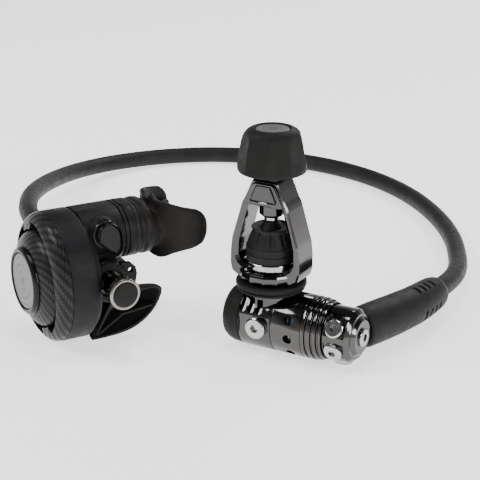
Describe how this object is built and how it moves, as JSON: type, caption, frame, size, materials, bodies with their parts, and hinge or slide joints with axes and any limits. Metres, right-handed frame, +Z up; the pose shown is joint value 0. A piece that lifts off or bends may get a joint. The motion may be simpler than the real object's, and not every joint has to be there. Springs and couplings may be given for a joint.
{
  "type": "scuba regulator set",
  "caption": "Yoke first stage with swivel turret, low-pressure hose with bend sleeve, and a balanced second stage with purge cover, adjusting knob, venturi lever and mouthpiece.",
  "frame": {"origin": "on the table, under the middle of the box round the two stages", "axes": "+Z up and along the yoke screw; +X along the first stage's barrel towards its turret nose"},
  "size_m": [0.378, 0.4275, 0.139],
  "materials": {
    "adjusting_knob": "anodised",
    "adjusting_stem": "polished",
    "case": "fine grained",
    "demand_lever": "stamped",
    "diaphragm": "silicone",
    "diaphragm_plate": "stamped",
    "dust_cap": "matte",
    "end_cap": "matte",
    "exhaust_duct": "matte",
    "exhaust_flap": "silicone",
    "first_ferrule": "black chrome plating",
    "front_grille": "moulded",
    "high_port_plugs": "polished",
    "hose": "matte, fine ribs",
    "hose_fitting": "black chrome plating",
    "hose_protector": "matte",
    "inlet_filter": "sintered",
    "knob_disc": "satin",
    "knob_face": "satin",
    "low_port_plugs": "polished",
    "main_body": "black chrome plating",
    "main_spring": "drawn wire",
    "mouthpiece": "matte silicone",
    "mouthpiece_clamp": "moulded",
    "orifice": "turned",
    "outer_cover": "carbon weave under lacquer",
    "piston": "turned",
    "piston_cap": "black chrome plating",
    "piston_seal": "moulded",
    "poppet": "turned",
    "poppet_spring": "drawn wire",
    "purge_button": "carbon weave under lacquer",
    "purge_emblem": "satin",
    "purge_ring": "moulded",
    "purge_spring": "drawn wire",
    "retaining_band": "fine grained",
    "screw_tip": "turned",
    "seat_plug": "turned",
    "second_ferrule": "black chrome plating",
    "spring_bushing": "moulded",
    "spring_pad": "turned",
    "swivel_nut": "black chrome plating",
    "turret": "black chrome plating",
    "turret_bolt": "polished",
    "valve_barrel": "turned",
    "valve_seat": "turned",
    "venturi_lever": "polished",
    "venturi_vane": "moulded",
    "yoke": "black chrome plating",
    "yoke_badge": "bead blasted",
    "yoke_collar": "matte",
    "yoke_knob": "matte",
    "yoke_retainer": "polished",
    "yoke_screw": "turned"
  },
  "bodies": {
    "hose_and_case": {"turret": "turret", "low_port_plugs": "low_port_plugs", "hose_fitting": "hose_fitting", "first_ferrule": "first_ferrule", "hose": "hose", "hose_protector": "hose_protector", "second_ferrule": "second_ferrule", "case": "case", "retaining_band": "retaining_band", "front_grille": "front_grille", "outer_cover": "outer_cover", "purge_spring": "purge_spring", "diaphragm": "diaphragm", "valve_barrel": "valve_barrel", "orifice": "orifice", "poppet_spring": "poppet_spring", "exhaust_duct": "exhaust_duct", "mouthpiece": "mouthpiece", "mouthpiece_clamp": "mouthpiece_clamp"},
    "first_stage": {"main_body": "main_body", "end_cap": "end_cap", "seat_plug": "seat_plug", "valve_seat": "valve_seat", "high_port_plugs": "high_port_plugs", "main_spring": "main_spring", "spring_bushing": "spring_bushing", "piston_cap": "piston_cap", "turret_bolt": "turret_bolt", "yoke_collar": "yoke_collar", "yoke": "yoke", "yoke_badge": "yoke_badge", "yoke_retainer": "yoke_retainer", "inlet_filter": "inlet_filter"},
    "piston": {"piston": "piston", "piston_seal": "piston_seal"},
    "screw_tip": {"screw_tip": "screw_tip"},
    "yoke_screw": {"yoke_screw": "yoke_screw", "yoke_knob": "yoke_knob", "knob_disc": "knob_disc"},
    "dust_cap": {"dust_cap": "dust_cap"},
    "purge_button": {"purge_button": "purge_button", "purge_ring": "purge_ring", "purge_emblem": "purge_emblem"},
    "diaphragm_plate": {"diaphragm_plate": "diaphragm_plate"},
    "demand_lever": {"demand_lever": "demand_lever"},
    "poppet": {"poppet": "poppet"},
    "spring_pad": {"spring_pad": "spring_pad"},
    "adjusting_knob": {"adjusting_stem": "adjusting_stem", "adjusting_knob": "adjusting_knob", "knob_face": "knob_face"},
    "venturi_lever": {"venturi_lever": "venturi_lever", "venturi_vane": "venturi_vane"},
    "swivel_nut": {"swivel_nut": "swivel_nut"},
    "exhaust_flap": {"exhaust_flap": "exhaust_flap"}
  },
  "joints": [
    {"name": "turret_swivel", "type": "hinge", "parent": "hose_and_case", "child": "first_stage", "pos_m": [0.0514, 0.0215, 0.0192], "axis": [1, 0, 0], "continuous": true},
    {"name": "piston_travel", "type": "slide", "parent": "first_stage", "child": "piston", "axis": [1, 0, 0], "range_m": [-0.002, 0], "stiffness_N_per_m": 400, "springref_m": 0.004, "deforming": ["main_spring"]},
    {"name": "yoke_screw_travel", "type": "slide", "parent": "first_stage", "child": "screw_tip", "axis": [0, 0, 1], "range_m": [0, 0.0075]},
    {"name": "yoke_knob_turn", "type": "hinge", "parent": "screw_tip", "child": "yoke_screw", "pos_m": [0.0514, 0.0215, 0.0792], "axis": [0, 0, 1], "range_deg": [0, 1802.5]},
    {"name": "dust_cap_slide", "type": "slide", "parent": "first_stage", "child": "dust_cap", "axis": [0, -1, 0], "range_m": [0, 0.06]},
    {"name": "purge_press", "type": "slide", "parent": "hose_and_case", "child": "purge_button", "axis": [-0.515, -0.8572, 0], "range_m": [-0.0045, 0], "stiffness_N_per_m": 300, "springref_m": 0.003, "deforming": ["purge_spring"]},
    {"name": "diaphragm_press", "type": "slide", "parent": "hose_and_case", "child": "diaphragm_plate", "axis": [-0.515, -0.8572, 0], "range_m": [-0.00451, 0], "deforming": ["diaphragm"]},
    {"name": "demand_lever_tilt", "type": "hinge", "parent": "hose_and_case", "child": "demand_lever", "pos_m": [-0.07514, -0.01216, 0.0423], "axis": [0, 0, 1], "range_deg": [0, 17.05]},
    {"name": "poppet_lift", "type": "slide", "parent": "hose_and_case", "child": "poppet", "axis": [0.8572, -0.515, 0], "range_m": [0, 0.00101]},
    {"name": "spring_pad_travel", "type": "slide", "parent": "hose_and_case", "child": "spring_pad", "axis": [0.8572, -0.515, 0], "range_m": [-0.0035, 0], "deforming": ["poppet_spring"]},
    {"name": "adjusting_knob_turn", "type": "hinge", "parent": "spring_pad", "child": "adjusting_knob", "pos_m": [-0.05902, -0.01251, 0.0423], "axis": [0.8572, -0.515, 0], "range_deg": [-1262.5, 0]},
    {"name": "venturi_lever_turn", "type": "hinge", "parent": "hose_and_case", "child": "venturi_lever", "pos_m": [-0.05799, -0.0108, 0.0705], "axis": [0.8572, -0.515, 0], "range_deg": [0, 60]},
    {"name": "swivel_nut_turn", "type": "hinge", "parent": "hose_and_case", "child": "swivel_nut", "pos_m": [-0.09331, 0.00809, 0.0423], "axis": [0.8572, -0.515, 0], "continuous": true},
    {"name": "exhaust_flap_lift", "type": "slide", "parent": "hose_and_case", "child": "exhaust_flap", "axis": [0.515, 0.8572, 0], "range_m": [0, 0.002], "stiffness_N_per_m": 30, "springref_m": -0.002}
  ],
  "couplings": [
    {"joint": "yoke_knob_turn", "follows": "yoke_screw_travel", "rad_per_m": 4188.8},
    {"joint": "diaphragm_press", "follows": "purge_press", "ratio": 1},
    {"joint": "demand_lever_tilt", "follows": "purge_press", "rad_per_m": -65.935},
    {"joint": "poppet_lift", "follows": "purge_press", "ratio": -0.22222},
    {"joint": "adjusting_knob_turn", "follows": "spring_pad_travel", "rad_per_m": 6283.2}
  ]
}
